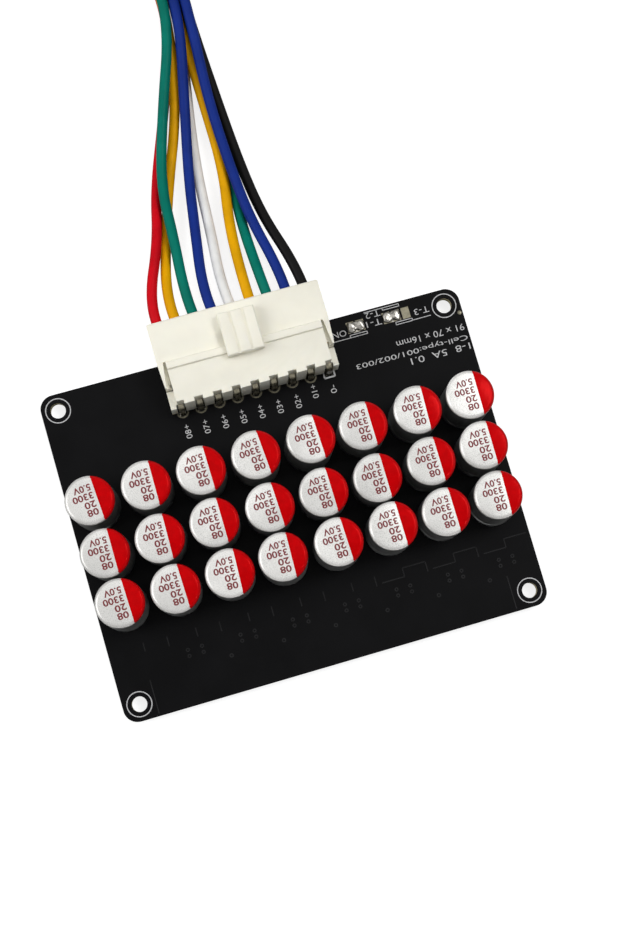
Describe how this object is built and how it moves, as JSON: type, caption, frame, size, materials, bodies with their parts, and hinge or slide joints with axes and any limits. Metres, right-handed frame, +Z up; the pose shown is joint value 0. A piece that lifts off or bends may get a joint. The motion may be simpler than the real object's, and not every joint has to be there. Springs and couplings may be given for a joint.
{
  "type": "active balancer board",
  "caption": "Black circuit board with rows of upright silver capacitors and, at one edge, a side entry connector with its plug and a lead of coloured wires.",
  "frame": {"origin": "under the middle of the rigid part's bounding box (board with its plug), at the tips of the solder tails, on which the board stands", "axes": "+X along the board's long edge, to the right when the connector edge is at the back; +Y towards the connector edge, out of which the wires leave; +Z up, the side of the capacitors"},
  "size_m": [0.091, 0.2102, 0.016],
  "materials": {
    "board": "satin black solder mask on glass fibre laminate",
    "capacitor_can": "bare drawn aluminium, satin on top and smooth at the side",
    "tinned_lead": "tin plated",
    "solder": "bright solder",
    "header_plastic": "ivory white moulded nylon",
    "plug_plastic": "ivory white moulded nylon",
    "tinned_pin": "tin plated square post",
    "tinned_contact": "tin plated phosphor bronze",
    "insulation_red": "soft satin cable insulation",
    "insulation_yellow": "soft satin cable insulation",
    "insulation_green": "soft satin cable insulation",
    "insulation_blue": "soft satin cable insulation",
    "insulation_white": "soft satin cable insulation",
    "insulation_black": "soft satin cable insulation",
    "insulation_bundle": "wires of several colours folded together",
    "tinned_strand": "tinned copper strands",
    "tie_nylon": "natural nylon",
    "moulded_black": "matt black moulding compound",
    "resistor_black": "black glaze",
    "ceramic_tan": "tan ceramic"
  },
  "bodies": {
    "root": {"board": "board", "capacitor_1_1": "capacitor_can", "capacitor_1_2": "capacitor_can", "capacitor_1_3": "capacitor_can", "capacitor_1_4": "capacitor_can", "capacitor_1_5": "capacitor_can", "capacitor_1_6": "capacitor_can", "capacitor_1_7": "capacitor_can", "capacitor_1_8": "capacitor_can", "capacitor_2_1": "capacitor_can", "capacitor_2_2": "capacitor_can", "capacitor_2_3": "capacitor_can", "capacitor_2_4": "capacitor_can", "capacitor_2_5": "capacitor_can", "capacitor_2_6": "capacitor_can", "capacitor_2_7": "capacitor_can", "capacitor_2_8": "capacitor_can", "capacitor_3_1": "capacitor_can", "capacitor_3_2": "capacitor_can", "capacitor_3_3": "capacitor_can", "capacitor_3_4": "capacitor_can", "capacitor_3_5": "capacitor_can", "capacitor_3_6": "capacitor_can", "capacitor_3_7": "capacitor_can", "capacitor_3_8": "capacitor_can", "capacitor_leads": "tinned_lead", "capacitor_solder": "solder", "header_body": "header_plastic", "header_pin_1": "tinned_pin", "header_pin_2": "tinned_pin", "header_pin_3": "tinned_pin", "header_pin_4": "tinned_pin", "header_pin_5": "tinned_pin", "header_pin_6": "tinned_pin", "header_pin_7": "tinned_pin", "header_pin_8": "tinned_pin", "header_pin_9": "tinned_pin", "pin_solder": "solder", "plug_housing": "plug_plastic", "crimp_contacts": "tinned_contact", "wire_1_red": "insulation_red", "wire_2_yellow": "insulation_yellow", "wire_3_green": "insulation_green", "wire_4_blue": "insulation_blue", "wire_5_white": "insulation_white", "wire_6_yellow": "insulation_yellow", "wire_7_green": "insulation_green", "wire_8_blue": "insulation_blue", "wire_9_black": "insulation_black", "wire_hank": "insulation_bundle", "stripped_ends": "tinned_strand", "cable_tie": "tie_nylon", "jumper_pads": "solder", "jumper_solder": "solder", "power_switches": "moulded_black", "driver_body": "moulded_black", "driver_pins": "tinned_lead", "chip_resistors": "resistor_black", "chip_capacitors": "ceramic_tan"}
  },
  "joints": []
}
